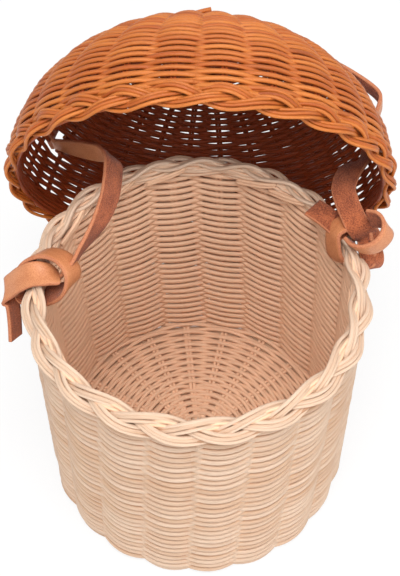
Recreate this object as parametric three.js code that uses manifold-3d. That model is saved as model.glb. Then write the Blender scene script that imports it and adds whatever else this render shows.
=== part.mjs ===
// A round wicker storage basket with a domed wicker lid and one leather strap.
// Millimetres, +Z up, the origin in the middle of the underside, +Y to the back.
// The lid is tipped back behind the basket and hangs on the strap.
import * as THREE from "three";
import { mergeVertices } from "three/addons/utils/BufferGeometryUtils.js";
import manifoldModule from "manifold-3d";

const kit = await manifoldModule();
kit.setup();

// Basket
const BASKET_HEIGHT = 182;
const STAKE_CIRCLE = 89.7;
const STAKE_COUNT = 20;
const STAKE_DIAMETER = 3;
const STAKE_BEND = 6;
const WALL_WEAVE = 2.8;
const WALL_ROWS = 58;
const WALL_RELIEF = 1.9;
const WALL_TWIST = 4.8;
const FLUTE_PHASE = 1;
const FOOT_ROUNDING = 2.2;
const FOOT_HEIGHT = 5;
const BASE_WEAVE = 3.5;
const CROSS_RADIUS = 13.6;
const BORDER_HEIGHT = 11.7;
const BORDER_INNER_OVERLAP = 5.7;
const BORDER_OUTER_OVERHANG = 1.4;
const BORDER_LOBE = 0.7;

// Lid
const LID_RADIUS = 112.6;
const LID_HEIGHT = 96.5;
const LID_TILT = 73.8;
const LID_YAW = -2.25;
const LID_SHIFT = 1.4;
const LID_DROP = 1.7;
const RIB_COUNT = 26;
const RIB_DIAMETER = 2.5;
const LID_WEAVE = 2.5;
const LID_FLUTE = 2.5;
const LID_ROWS = 40;
const LID_PITCH = 2.3;
const LID_RELIEF = 1.6;
const LID_BORDER_HEIGHT = 12;
const LID_BORDER_THICKNESS = 8;
const LID_BORDER_STEP = 1;
const DOME_ROUNDNESS = 2.19;
const DOME_SHOULDER = 1.8;
const CROWN_OPENING = 12.8;
const CROWN_THICKNESS = 4.5;

// Strap
const STRAP_WIDTH = 14;
const STRAP_THICKNESS = 2.6;
const RIGHT_KNOT_FLUTES = 6;
const LEFT_KNOT_FLUTES = -5;
const LEFT_KNOT_SHIFT = -2.4;
const HITCH_REACH = 11.2;
const HITCH_HEIGHT = 21;
const HITCH_DROP = 6;
const LEFT_END_LENGTH = 24;
const RIGHT_END_LENGTH = 26;
const RIGHT_END_LIFT = 25;
const RIGHT_END_TURN = 38;
const LEG_INSET = 11.7;
const LEG_DEPTH = 15;
const RIGHT_LEG_FLUTES = 7;
const LEFT_LEG_FLUTES = -8;
const LEFT_ARCH_REST = 3.2;
const RIGHT_ARCH_REST = 16.7;
const RIGHT_ARCH_BOW = 5;
const ARCH_RISE = 12;
const LEFT_RUN_BOW = 38;
const LEFT_RUN_RISE = 22;
const RIGHT_RUN_BOW = 8;
const RIGHT_RUN_RISE = 10;

// Gaps between pieces that touch
const GAP = 0.3;
const STRAP_GAP = 0.4;
const LEAN_GAP = 0.9;

// Sizes that follow
const FLUTE_DEPTH = STAKE_DIAMETER / 2 + GAP + WALL_WEAVE / 2;
const WALL_CREST = STAKE_CIRCLE + FLUTE_DEPTH + WALL_WEAVE / 2;
const WALL_TOP = BASKET_HEIGHT - BORDER_HEIGHT - GAP;
const BORDER_BOTTOM = WALL_TOP + GAP;
const BORDER_INSIDE = STAKE_CIRCLE - BORDER_INNER_OVERLAP;
const BORDER_OUTSIDE = WALL_CREST + BORDER_OUTER_OVERHANG;
const FLUTE_ANGLE = 360 / STAKE_COUNT;
const RIB_ANGLE = 360 / RIB_COUNT;
const LID_INSIDE = LID_RADIUS - LID_BORDER_THICKNESS;
const DOME_FOOT = LID_BORDER_HEIGHT + GAP;
const DOME_RADIUS = LID_RADIUS - LID_BORDER_STEP;
const DOME_RISE = LID_HEIGHT - DOME_FOOT;
const LEG_RADIUS = LID_RADIUS - LEG_INSET;

const STRAW = 0xe6c9a4;
const CARAMEL = 0xb9722f;
const LEATHER = 0xb77c4f;

const object = new THREE.Group();
object.name = "storage_basket";
const lid = new THREE.Group();
lid.name = "lid";
object.add(lid);

const turn = (degrees) => THREE.MathUtils.degToRad(degrees);

/** A point at an angle from the front, counted towards +X. */
function around(angle, radius, height) {
  return new THREE.Vector3(radius * Math.sin(angle), -radius * Math.cos(angle), height);
}

/** How far a fluted wall stands out at an angle: 0 in a valley and 1 on a flat crest. */
function flute(angle, count) {
  const place = (count * angle) / (2 * Math.PI);
  const share = place - Math.floor(place);
  return Math.min(1, 3 * share, 3 * (1 - share));
}

/** Whether a row of weave runs behind the rod at an angle. The rows take turns from rod to rod. */
function runsBehind(angle, count, row) {
  const rodIndex = Math.floor((count * angle) / (2 * Math.PI) + 1e-6);
  return (rodIndex + row) % 2 === 0;
}

function signedVolume(corners, faces) {
  let sum = 0;
  for (let k = 0; k < faces.length; k += 3) {
    const [a, b, c] = [corners[faces[k]], corners[faces[k + 1]], corners[faces[k + 2]]];
    sum += a.dot(new THREE.Vector3().crossVectors(b, c));
  }
  return sum;
}

/** A closed body through rings of points, joined end to end or capped at both ends. */
function skin(rings, endless) {
  const sides = rings[0].length;
  const corners = rings.flat();
  const faces = [];
  const last = endless ? rings.length : rings.length - 1;
  for (let k = 0; k < last; k++) {
    const here = k * sides;
    const next = ((k + 1) % rings.length) * sides;
    for (let j = 0; j < sides; j++) {
      const other = (j + 1) % sides;
      faces.push(here + j, here + other, next + other);
      faces.push(here + j, next + other, next + j);
    }
  }
  if (!endless) {
    const end = (rings.length - 1) * sides;
    for (let j = 1; j < sides - 1; j++) {
      faces.push(0, j + 1, j);
      faces.push(end, end + j, end + j + 1);
    }
  }
  if (signedVolume(corners, faces) < 0) {
    faces.reverse();
  }
  const shape = new THREE.BufferGeometry().setFromPoints(corners);
  shape.setIndex(faces);
  return shape;
}

/** A ring body whose section, a list of [radius, height, extra angle], is given at each angle. */
function ringBody(steps, sectionAt) {
  const rings = [];
  for (let k = 0; k < steps; k++) {
    const angle = (2 * Math.PI * k) / steps;
    rings.push(sectionAt(angle).map(([r, z, more = 0]) => around(angle + more, r, z)));
  }
  return skin(rings, true);
}

/** A round rod along a line of points, its section drawn square to the line. */
function rod(points, diameter, sides, side) {
  const rings = points.map((point, k) => {
    const before = points[Math.max(k - 1, 0)];
    const after = points[Math.min(k + 1, points.length - 1)];
    const along = new THREE.Vector3().subVectors(after, before).normalize();
    const out = new THREE.Vector3().crossVectors(side, along).normalize();
    return Array.from({ length: sides }, (_, j) => {
      const angle = (2 * Math.PI * j) / sides;
      const corner = point.clone().addScaledVector(side, (diameter / 2) * Math.cos(angle));
      return corner.addScaledVector(out, (diameter / 2) * Math.sin(angle));
    });
  });
  return skin(rings, false);
}

/** A flat band along a curve through points, lying across the directions given there. */
function band(points, acrossAt, pieces) {
  const path = new THREE.CatmullRomCurve3(points, false, "catmullrom", 0.5);
  const lean = new THREE.CatmullRomCurve3(acrossAt, false, "catmullrom", 0.5);
  const rings = [];
  for (let k = 0; k <= pieces; k++) {
    const point = path.getPoint(k / pieces);
    const along = path.getTangent(k / pieces);
    const across = lean.getPoint(k / pieces);
    across.addScaledVector(along, -across.dot(along)).normalize();
    const face = new THREE.Vector3().crossVectors(along, across);
    const corner = (w, t) =>
      point
        .clone()
        .addScaledVector(across, (w * STRAP_WIDTH) / 2)
        .addScaledVector(face, (t * STRAP_THICKNESS) / 2);
    rings.push([corner(-1, -1), corner(1, -1), corner(1, 1), corner(-1, 1)]);
  }
  return skin(rings, false);
}

function bodyOf(shape) {
  const bare = new THREE.BufferGeometry();
  bare.setAttribute("position", shape.getAttribute("position"));
  bare.setIndex(shape.getIndex());
  const joined = mergeVertices(bare, 1e-4);
  const mesh = new kit.Mesh({
    numProp: 3,
    vertProperties: Float32Array.from(joined.getAttribute("position").array),
    triVerts: Uint32Array.from(joined.getIndex().array),
  });
  return new kit.Manifold(mesh);
}

function shapeOf(body) {
  const mesh = body.getMesh();
  const shape = new THREE.BufferGeometry();
  shape.setAttribute("position", new THREE.BufferAttribute(mesh.vertProperties, 3));
  shape.setIndex(Array.from(mesh.triVerts));
  return shape;
}

function cut(shape, tools) {
  return shapeOf(tools.reduce((left, tool) => left.subtract(bodyOf(tool)), bodyOf(shape)));
}

function join(shapes) {
  return shapeOf(shapes.map(bodyOf).reduce((sum, body) => sum.add(body)));
}

function place(parent, name, shape, colour) {
  shape.computeVertexNormals();
  const finish = new THREE.MeshStandardMaterial({ color: colour, roughness: 0.7 });
  const mesh = new THREE.Mesh(shape, finish);
  mesh.name = name;
  parent.add(mesh);
}

const numbered = (name, k) => `${name}_${String(k + 1).padStart(2, "0")}`;

// The basket
const phase = turn(FLUTE_PHASE);
const twistAt = (height) => -turn(WALL_TWIST) * (1 - height / WALL_TOP);

/** A frame on the rim: x out from the middle, y up and z along the rim, origin on the axis. */
function rimFrame(degrees) {
  const out = around(turn(degrees), 1, 0);
  const up = new THREE.Vector3(0, 0, 1);
  return new THREE.Matrix4().makeBasis(out, up, new THREE.Vector3().crossVectors(out, up));
}

const rightKnot = FLUTE_PHASE + RIGHT_KNOT_FLUTES * FLUTE_ANGLE;
const leftKnot = FLUTE_PHASE + LEFT_KNOT_FLUTES * FLUTE_ANGLE + LEFT_KNOT_SHIFT;

/** The notch in the wall under the border that the strap goes through. */
function wallNotch(degrees) {
  const depth = STRAP_THICKNESS + 2 * STRAP_GAP - GAP;
  const reach = 6 * FLUTE_DEPTH;
  const notch = new THREE.BoxGeometry(reach, 2 * depth, STRAP_WIDTH + 2 * STRAP_GAP);
  notch.translate(STAKE_CIRCLE, WALL_TOP, 0);
  return notch.applyMatrix4(rimFrame(degrees));
}

const footAt = (height) => FOOT_ROUNDING * Math.max(0, 1 - height / FOOT_HEIGHT) ** 2;
const rowHeight = WALL_TOP / WALL_ROWS;
const wall = ringBody(STAKE_COUNT * 3, (angle) => {
  const crest = flute(angle, STAKE_COUNT);
  const inside = STAKE_CIRCLE - WALL_WEAVE / 2 + FLUTE_DEPTH * crest;
  const outside = (height) => inside + WALL_WEAVE - footAt(height);
  const at = (radius, height) => [radius, height, phase + twistAt(height)];
  const rows = Array.from({ length: WALL_ROWS }, (_, row) => {
    const height = (row + 0.5) * rowHeight;
    const relief = Math.max(0, WALL_RELIEF - footAt(height));
    const sink = runsBehind(angle, STAKE_COUNT, row) ? relief * crest : 0;
    return at(outside(height) - sink, height);
  });
  return [at(inside, 0), at(outside(0), 0), ...rows, at(outside(WALL_TOP), WALL_TOP), at(inside, WALL_TOP)];
});
place(object, "wall_weave", cut(wall, [wallNotch(leftKnot), wallNotch(rightKnot)]), STRAW);

const base = ringBody(STAKE_COUNT * 3, (angle) => {
  const edge = STAKE_CIRCLE - WALL_WEAVE / 2 + FLUTE_DEPTH * flute(angle, STAKE_COUNT) - STRAP_GAP;
  const at = (radius, height) => [radius, height, phase + twistAt(height)];
  return [
    at(CROSS_RADIUS + STRAP_GAP, 0),
    at(edge, 0),
    at(edge, BASE_WEAVE),
    at(CROSS_RADIUS + STRAP_GAP, BASE_WEAVE),
  ];
});
place(object, "base_weave", base, STRAW);

const crossTop = BASE_WEAVE + STAKE_DIAMETER;
const cross = new THREE.CylinderGeometry(CROSS_RADIUS, CROSS_RADIUS, crossTop, 30);
cross.rotateX(Math.PI / 2);
cross.translate(0, 0, crossTop / 2);
place(object, "base_cross", cross, STRAW);

const stakeLevel = BASE_WEAVE + GAP + STAKE_DIAMETER / 2;
const stakeStart = CROSS_RADIUS + STRAP_GAP + 2 * STAKE_DIAMETER;
for (let k = 0; k < STAKE_COUNT; k++) {
  const angle = phase + turn((k + 0.5) * FLUTE_ANGLE);
  const at = (radius, height) => around(angle + twistAt(height), radius, height);
  const bend = [0, 0.5, 1].map((share) => {
    const lift = (share * Math.PI) / 2;
    return at(
      STAKE_CIRCLE - STAKE_BEND * (1 - Math.sin(lift)),
      stakeLevel + STAKE_BEND * (1 - Math.cos(lift)),
    );
  });
  const side = around(angle + Math.PI / 2 + twistAt(stakeLevel), 1, 0);
  const line = [at(stakeStart, stakeLevel), ...bend, at(STAKE_CIRCLE, WALL_TOP)];
  place(object, numbered("stake", k), rod(line, STAKE_DIAMETER, 6, side), STRAW);
}

/** A plaited edge: a ring with a flat foot and a lobe over each rod. */
function border(count, inside, outside, bottom, height, lobes) {
  const middle = (inside + outside) / 2;
  const half = (outside - inside) / 2;
  return ringBody(count * 4, (angle) => {
    const swell = BORDER_LOBE * (flute(angle - lobes, count) - 1);
    return [
      [middle - 0.6 * half, bottom],
      [middle + 0.6 * half, bottom],
      [outside + swell, bottom + 0.35 * height],
      [outside + swell, bottom + 0.7 * height],
      [middle + 0.5 * half, bottom + height + swell],
      [middle - 0.5 * half, bottom + height + swell],
      [inside, bottom + 0.7 * height],
      [inside, bottom + 0.35 * height],
    ];
  });
}

const rim = border(
  STAKE_COUNT,
  BORDER_INSIDE,
  BORDER_OUTSIDE,
  BORDER_BOTTOM,
  BORDER_HEIGHT,
  phase,
);
place(object, "rim_border", rim, STRAW);

// The lid, in its own frame: the origin in the middle of its opening, +Z to its crown
const tilt = turn(LID_TILT);
lid.position.set(
  LID_SHIFT,
  WALL_CREST + LEAN_GAP - LID_INSIDE * Math.cos(tilt),
  BASKET_HEIGHT - LID_DROP,
);
lid.rotation.set(-tilt, 0, turn(LID_YAW), "ZYX");

/** A point of the dome's outline and the direction out of it, for a share of the way up. */
function domeAt(share, topLift) {
  const lift = share * topLift;
  const r = DOME_RADIUS * Math.cos(lift) ** (2 / DOME_ROUNDNESS);
  const rise = Math.sin(lift) ** (2 / DOME_SHOULDER);
  const outward = (DOME_ROUNDNESS / DOME_RADIUS) * (r / DOME_RADIUS) ** (DOME_ROUNDNESS - 1);
  const upward = (DOME_SHOULDER / DOME_RISE) * rise ** (DOME_SHOULDER - 1);
  const size = Math.hypot(outward, upward);
  return { r, z: DOME_FOOT + DOME_RISE * rise, nr: outward / size, nz: upward / size };
}

const DOME_STEPS = 8;
const topLift = Math.acos((CROWN_OPENING / DOME_RADIUS) ** (DOME_ROUNDNESS / 2));
const outline = Array.from({ length: DOME_STEPS + 1 }, (_, k) => domeAt(k / DOME_STEPS, topLift));

/** The dome's outline at each row of weave, in even steps of length from the foot. */
function domeRows() {
  const rows = [];
  let before = domeAt(0, 1);
  let length = 0;
  for (let lift = 0; rows.length < LID_ROWS && lift < topLift; lift += 0.001) {
    const here = domeAt(lift, 1);
    length += Math.hypot(here.r - before.r, here.z - before.z);
    before = here;
    if (length >= (rows.length + 0.5) * LID_PITCH) {
      rows.push(here);
    }
  }
  return rows;
}

const domeWeave = domeRows();
const lastRow = domeWeave[domeWeave.length - 1];
const domeTop = outline.filter((point) => point.z > lastRow.z + LID_PITCH);
const dome = ringBody(RIB_COUNT * 3, (angle) => {
  const crest = flute(angle, RIB_COUNT);
  const sink = (point) => LID_FLUTE * (point.r / DOME_RADIUS) * (1 - crest);
  const at = (point, depth) => [point.r - point.nr * depth, point.z - point.nz * depth];
  const rows = domeWeave.map((point, row) => {
    const behind = runsBehind(angle, RIB_COUNT, row) ? LID_RELIEF * crest : 0;
    return at(point, sink(point) + behind);
  });
  const top = domeTop.map((point) => at(point, sink(point)));
  const inner = outline.map((point) => at(point, sink(point) + LID_WEAVE));
  return [at(outline[0], sink(outline[0])), ...rows, ...top, ...inner.reverse()];
});

const rightLeg = around(turn(RIGHT_LEG_FLUTES * RIB_ANGLE), LEG_RADIUS, 0);
const leftLeg = around(turn(LEFT_LEG_FLUTES * RIB_ANGLE), LEG_RADIUS, 0);
const archMiddle = new THREE.Vector3().addVectors(rightLeg, leftLeg).multiplyScalar(0.5);
const archWay = new THREE.Vector3().subVectors(rightLeg, leftLeg).normalize();
const archAcross = new THREE.Vector3(-archWay.y, archWay.x, 0);
const slotHeight = LID_HEIGHT;

/** The slot in the dome for a leg of the handle. */
function lidSlot(leg) {
  const slot = new THREE.BoxGeometry(
    STRAP_THICKNESS + 2 * STRAP_GAP,
    STRAP_WIDTH + 2 * STRAP_GAP,
    slotHeight,
  );
  slot.rotateZ(Math.atan2(archWay.y, archWay.x));
  return slot.translate(leg.x, leg.y, slotHeight / 2 + LID_BORDER_HEIGHT / 2);
}

place(lid, "lid_weave", cut(dome, [lidSlot(rightLeg), lidSlot(leftLeg)]), CARAMEL);

const ribDepth = LID_WEAVE + GAP + RIB_DIAMETER / 2;
for (let k = 0; k < RIB_COUNT; k++) {
  const angle = turn((k + 0.5) * RIB_ANGLE);
  const line = outline.map((p) => around(angle, p.r - p.nr * ribDepth, p.z - p.nz * ribDepth));
  const side = around(angle + Math.PI / 2, 1, 0);
  place(lid, numbered("lid_rib", k), rod(line, RIB_DIAMETER, 6, side), CARAMEL);
}

const crownTop = outline[DOME_STEPS].z;
const crown = new THREE.CylinderGeometry(
  CROWN_OPENING - 3 * STRAP_GAP,
  CROWN_OPENING - 3 * STRAP_GAP,
  CROWN_THICKNESS,
  RIB_COUNT,
);
crown.rotateX(Math.PI / 2);
crown.translate(0, 0, crownTop - CROWN_THICKNESS / 2 + GAP);
place(lid, "lid_crown", crown, CARAMEL);

const edge = border(RIB_COUNT, LID_INSIDE, LID_RADIUS, 0, LID_BORDER_HEIGHT, 0);
place(lid, "lid_border", edge, CARAMEL);

// The handle, an arch over the dome with both legs down through the slots
const archLifts = [36, 46, 56, 66, 76];

/** A point of the arch above the dome, on the right (1) or on the left (-1). */
function archAt(lift, sign) {
  const spot = domeAt(turn(lift), 1);
  const share = (lift - archLifts[0]) / (90 - archLifts[0]);
  const rest = sign > 0 ? RIGHT_ARCH_REST : LEFT_ARCH_REST;
  const stand = STRAP_THICKNESS / 2 + rest + (ARCH_RISE - rest) * share;
  const radius = spot.r + spot.nr * stand;
  const reach = Math.sqrt(Math.max(radius ** 2 - archMiddle.lengthSq(), 0));
  const point = archMiddle.clone().addScaledVector(archWay, sign * reach);
  return point.setZ(spot.z + spot.nz * stand);
}

const upLeg = [LEG_DEPTH, LID_BORDER_HEIGHT * 2, LID_HEIGHT * 0.4, LID_HEIGHT * 0.53];
const archTop = archMiddle.clone().setZ(LID_HEIGHT + ARCH_RISE);
const archBow = rightLeg.clone().addScaledVector(archWay, RIGHT_ARCH_BOW).setZ(LID_HEIGHT * 0.63);
const archLine = [
  ...upLeg.map((height) => leftLeg.clone().setZ(height)),
  ...archLifts.map((lift) => archAt(lift, -1)),
  archTop,
  ...archLifts.map((lift) => archAt(lift, 1)).reverse(),
  archBow,
  ...upLeg.map((height) => rightLeg.clone().setZ(height)).reverse(),
];
place(lid, "handle_strap", band(archLine, archLine.map(() => archAcross), 40), LEATHER);

// The free runs of the strap, from the knots to the legs of the handle
lid.updateMatrixWorld(true);
const legFace = STRAP_THICKNESS / 2 + 2 * GAP;
const meetHeight = LEG_DEPTH + STRAP_WIDTH;
const lidAcross = archAcross.clone().transformDirection(lid.matrixWorld);
const meet = (leg, sign, before) =>
  lid.localToWorld(
    leg.clone().addScaledVector(archWay, -sign * (legFace + before)).setZ(meetHeight),
  );

const loopInside = BORDER_INSIDE - STRAP_GAP;
const loopTop = BASKET_HEIGHT + STRAP_GAP + STRAP_THICKNESS;
const vec = (x, y, z) => new THREE.Vector3(x, y, z);

const leftFoot = around(
  turn(leftKnot),
  loopInside - STRAP_THICKNESS * 1.5 - GAP,
  BASKET_HEIGHT - STRAP_WIDTH / 2,
);
const leftMeet = meet(leftLeg, -1, 0);
const leftSpan = new THREE.Vector3().subVectors(leftMeet, leftFoot);
const leftOn = (share, bow, rise) =>
  vec(
    leftFoot.x + share * leftSpan.x + bow * LEFT_RUN_BOW,
    leftFoot.y + share * leftSpan.y,
    loopTop + rise * LEFT_RUN_RISE,
  );
const leftLine = [
  leftFoot,
  leftOn(0.03, 0.12, 0.05),
  leftOn(0.1, 0.4, 0.4),
  leftOn(0.25, 0.76, 0.86),
  leftOn(0.4, 0.93, 1),
  leftOn(0.55, 0.97, 1.02),
  leftOn(0.68, 0.9, 0.9),
  leftOn(0.8, 0.7, 0.35),
  meet(leftLeg, -1, STRAP_WIDTH),
  leftMeet,
];
const lidAcrossLeft = lidAcross.clone().negate();
const leftAcross = [
  vec(0, -1, 0.2),
  vec(0, -0.9, 0.4),
  vec(0, -0.57, 0.82),
  vec(-0.35, -0.45, 0.8),
  vec(-0.6, -0.3, 0.72),
  vec(-0.63, -0.28, 0.72),
  vec(-0.55, -0.28, 0.8),
  vec(-0.3, -0.28, 0.9),
  lidAcrossLeft,
  lidAcrossLeft,
];
place(object, "left_strap_run", band(leftLine, leftAcross, 24), LEATHER);

const rightFoot = around(
  turn(rightKnot),
  (BORDER_INSIDE + BORDER_OUTSIDE) / 2 - STRAP_THICKNESS,
  loopTop + STRAP_THICKNESS / 2 + STRAP_GAP,
);
const rightMeet = meet(rightLeg, 1, 0);
const rightSpan = new THREE.Vector3().subVectors(rightMeet, rightFoot);
const rightOn = (share, bow, rise) =>
  vec(
    rightFoot.x + share * rightSpan.x - bow * RIGHT_RUN_BOW,
    rightFoot.y + share * rightSpan.y,
    loopTop + rise * RIGHT_RUN_RISE,
  );
const rightLine = [
  rightFoot,
  rightOn(0.11, 0.25, 0.4),
  rightOn(0.26, 0.625, 0.8),
  rightOn(0.45, 1, 1),
  rightOn(0.67, 0.75, 0.8),
  meet(rightLeg, 1, STRAP_WIDTH * 0.7),
  rightMeet,
];
const rightAcross = [
  vec(-1, 0, 0),
  vec(-1, 0, 0),
  vec(-1, 0, 0),
  vec(-1, 0.1, 0),
  vec(-0.85, 0.5, -0.1),
  vec(-0.4, 0.75, -0.5),
  lidAcross,
];
place(object, "right_strap_run", band(rightLine, rightAcross, 20), LEATHER);

// The knots: a loop round the border, a hitch outside it and the strap's loose end
function roundedBox(left, bottom, right, top, corner, depth, hole) {
  const trace = (path, l, b, r, t, c) => {
    path.moveTo(l + c, b);
    path.lineTo(r - c, b);
    path.quadraticCurveTo(r, b, r, b + c);
    path.lineTo(r, t - c);
    path.quadraticCurveTo(r, t, r - c, t);
    path.lineTo(l + c, t);
    path.quadraticCurveTo(l, t, l, t - c);
    path.lineTo(l, b + c);
    path.quadraticCurveTo(l, b, l + c, b);
    return path;
  };
  const shape = trace(new THREE.Shape(), left, bottom, right, top, corner);
  if (hole > 0) {
    const inner = Math.max(corner - hole / 2, 1);
    shape.holes.push(
      trace(new THREE.Path(), left + hole, bottom + hole, right - hole, top - hole, inner),
    );
  }
  const solid = new THREE.ExtrudeGeometry(shape, {
    depth,
    bevelEnabled: false,
    curveSegments: 3,
  });
  return solid.translate(0, 0, -depth / 2);
}

const loopBottom = BORDER_BOTTOM - STRAP_GAP - STRAP_THICKNESS;
const loopOutside = BORDER_OUTSIDE + STRAP_GAP + STRAP_THICKNESS;
const hitchTop = BASKET_HEIGHT - HITCH_DROP;

function knot(degrees, looseEnd) {
  const loop = roundedBox(
    loopInside - STRAP_THICKNESS,
    loopBottom,
    loopOutside,
    loopTop,
    3.5,
    STRAP_WIDTH,
    STRAP_THICKNESS,
  );
  const hitch = roundedBox(
    loopOutside - STRAP_THICKNESS / 2,
    hitchTop - HITCH_HEIGHT,
    loopOutside + HITCH_REACH,
    hitchTop,
    4.5,
    STRAP_WIDTH * 0.9,
    STRAP_THICKNESS,
  );
  return join([loop, hitch, looseEnd]).applyMatrix4(rimFrame(degrees));
}

const leftEnd = roundedBox(
  loopOutside + HITCH_REACH / 2,
  hitchTop - HITCH_HEIGHT - LEFT_END_LENGTH,
  loopOutside + HITCH_REACH / 2 + STRAP_THICKNESS,
  hitchTop - HITCH_HEIGHT + STRAP_THICKNESS / 2,
  0.8,
  STRAP_WIDTH * 0.9,
  0,
);
place(object, "left_knot", knot(leftKnot, leftEnd), LEATHER);

const rightEnd = new THREE.BoxGeometry(RIGHT_END_LENGTH, STRAP_THICKNESS, STRAP_WIDTH);
rightEnd.translate(-RIGHT_END_LENGTH / 2, 0, 0);
rightEnd.rotateZ(turn(-RIGHT_END_LIFT));
rightEnd.rotateY(turn(-RIGHT_END_TURN));
const endCorner = (STRAP_WIDTH / 2) * Math.sin(turn(RIGHT_END_TURN));
rightEnd.translate(loopInside - endCorner, BASKET_HEIGHT - BORDER_HEIGHT / 2, 0);
place(object, "right_knot", knot(rightKnot, rightEnd), LEATHER);

export default object;
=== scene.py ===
"""Looks of a two-tone wicker basket with a domed lid tipped back on a knotted leather strap.

Lengths are in millimetres in the classes and in metres in the scene. The lid is described as it
sits upright and is then tipped back into place.
"""

import logging
import math
from dataclasses import dataclass, field
from enum import Enum
from typing import Callable, Sequence

import bpy
import numpy as np
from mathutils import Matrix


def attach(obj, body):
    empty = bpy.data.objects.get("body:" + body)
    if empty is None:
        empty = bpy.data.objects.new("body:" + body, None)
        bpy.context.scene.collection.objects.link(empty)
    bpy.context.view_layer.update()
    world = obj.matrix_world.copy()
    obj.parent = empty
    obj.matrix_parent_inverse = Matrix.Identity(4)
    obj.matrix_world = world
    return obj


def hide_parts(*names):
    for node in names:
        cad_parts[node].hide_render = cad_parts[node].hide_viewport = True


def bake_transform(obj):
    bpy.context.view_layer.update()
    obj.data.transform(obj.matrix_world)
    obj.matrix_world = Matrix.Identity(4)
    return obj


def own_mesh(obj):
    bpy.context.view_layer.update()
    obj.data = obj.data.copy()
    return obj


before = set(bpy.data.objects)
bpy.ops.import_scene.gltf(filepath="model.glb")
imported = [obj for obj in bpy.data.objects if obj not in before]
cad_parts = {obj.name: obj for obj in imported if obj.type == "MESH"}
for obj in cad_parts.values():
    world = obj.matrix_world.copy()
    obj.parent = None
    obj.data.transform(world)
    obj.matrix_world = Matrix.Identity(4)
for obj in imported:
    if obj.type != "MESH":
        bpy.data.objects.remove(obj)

log = logging.getLogger("basket")
MM = 0.001
UP = np.array([0.0, 0.0, 1.0])
WHITE = (1, 1, 1, 1)
# How far a strand bows out of the weave where it shows one colour all round: OUTSIDE gives its outer
# colour, INSIDE the painted inner colour that stands in for shade, TURNED_IN mostly that painted colour.
OUTSIDE = 9.0
INSIDE = -9.0
TURNED_IN = -1.2
# How far the half thickness of one weaver departs from the next.
CANE_VARIES = 0.07
Array = np.ndarray
Move = Callable[[Array], Array]
Piece = bpy.types.Object
Socket = bpy.types.NodeSocket
Material = bpy.types.Material
Point = tuple[float, float, float]
Colour = tuple[float, float, float]
Hoop = tuple[float, float, float]
Track = tuple[Array, Array]


class Body(Enum):
    """Moving bodies of the basket."""

    BASKET = "basket"
    LID = "lid"
    HANDLE = "handle"


class Slot(Enum):
    """Material slots of the basket."""

    STRAW = "straw"
    CARAMEL = "caramel"
    LEATHER = "leather"


class Face(Enum):
    """Faces of a leather band, in the order of its materials."""

    SUEDE = 0
    EDGE = 1
    SMOOTH = 2


def linear(colour: Colour) -> tuple[float, ...]:
    """Turns a screen colour, from 0 to 255, into the linear one that a shader takes."""
    parts = [c / 255.0 for c in colour]
    return (*(c / 12.92 if c <= 0.04045 else ((c + 0.055) / 1.055) ** 2.4 for c in parts), 1.0)


def unit(vectors: Array) -> Array:
    """Scales vectors to length one."""
    return vectors / np.maximum(np.linalg.norm(vectors, axis=-1, keepdims=True), 1e-9)


def full_turn(steps: int) -> Array:
    """Divides a full turn into equal steps, in radians."""
    return np.arange(steps) * 2 * math.pi / steps


def fuller(wave: Array, power: float) -> Array:
    """Makes the bows of a wave fuller, the more so the lower the power."""
    return np.sign(wave) * np.abs(wave) ** power


def around(radius: Array | float, angle: Array | float, height: Array | float) -> Array:
    """Places points round the upright axis, with angles from the front towards the right."""
    radius, angle, height = np.broadcast_arrays(radius, angle, height)
    return np.stack([radius * np.sin(angle), -radius * np.cos(angle), height], axis=-1)


def stay(points: Array) -> Array:
    """Leaves points where they are."""
    return points


def heading(path: Array, closed: bool) -> Array:
    """Finds the direction along a path at each of its points."""
    return unit(np.roll(path, -1, 0) - np.roll(path, 1, 0) if closed else np.gradient(path, axis=0))


def lengths(path: Array) -> Array:
    """Measures the length along a path up to each of its points."""
    return np.concatenate([[0], np.cumsum(np.linalg.norm(np.diff(path, axis=0), axis=1))])


def outward(profile: Array) -> Array:
    """Finds the outward direction at each point of a profile, as radius and height."""
    ahead = heading(profile, False)
    return np.stack([ahead[:, 1], -ahead[:, 0]], -1)


def oval(middle: Point, wide: Point, high: Point, halves: tuple[float, float], degrees: Array) -> Array:
    """Draws points of an oval.

    Args:
        middle: Middle of the oval.
        wide: Direction of its first axis.
        high: Direction of its second axis.
        halves: Half lengths of the two axes.
        degrees: Angle of each point from the first axis.

    Returns:
        The points.
    """
    turn = np.radians(degrees)[:, None]
    across = halves[0] * np.cos(turn) * np.array(wide)
    return np.array(middle) + across + halves[1] * np.sin(turn) * np.array(high)


def twist(first: Point, second: Point, share: Array) -> Array:
    """Turns a direction into another one, by a share at each point."""
    return np.array(first) * (1 - share) + share * np.array(second)


def stretches(steps: int, openings: Sequence[tuple[float, float]]) -> list[tuple[Array, bool]]:
    """Divides a row where the strap passes through it.

    Args:
        steps: Steps of a whole row.
        openings: Middle and half width of each opening in degrees, or none.

    Returns:
        Angles of each stretch in radians, and whether it goes right round.
    """
    if not openings:
        return [(full_turn(steps), True)]
    ends = sorted(openings)
    found = []
    for (first, half), (last, other) in zip(ends, ends[1:] + [(ends[0][0] + 360, ends[0][1])]):
        start, stop = first + half, last - other
        found.append((np.radians(np.linspace(start, stop, int(steps * (stop - start) / 360))), False))
    return found


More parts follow.
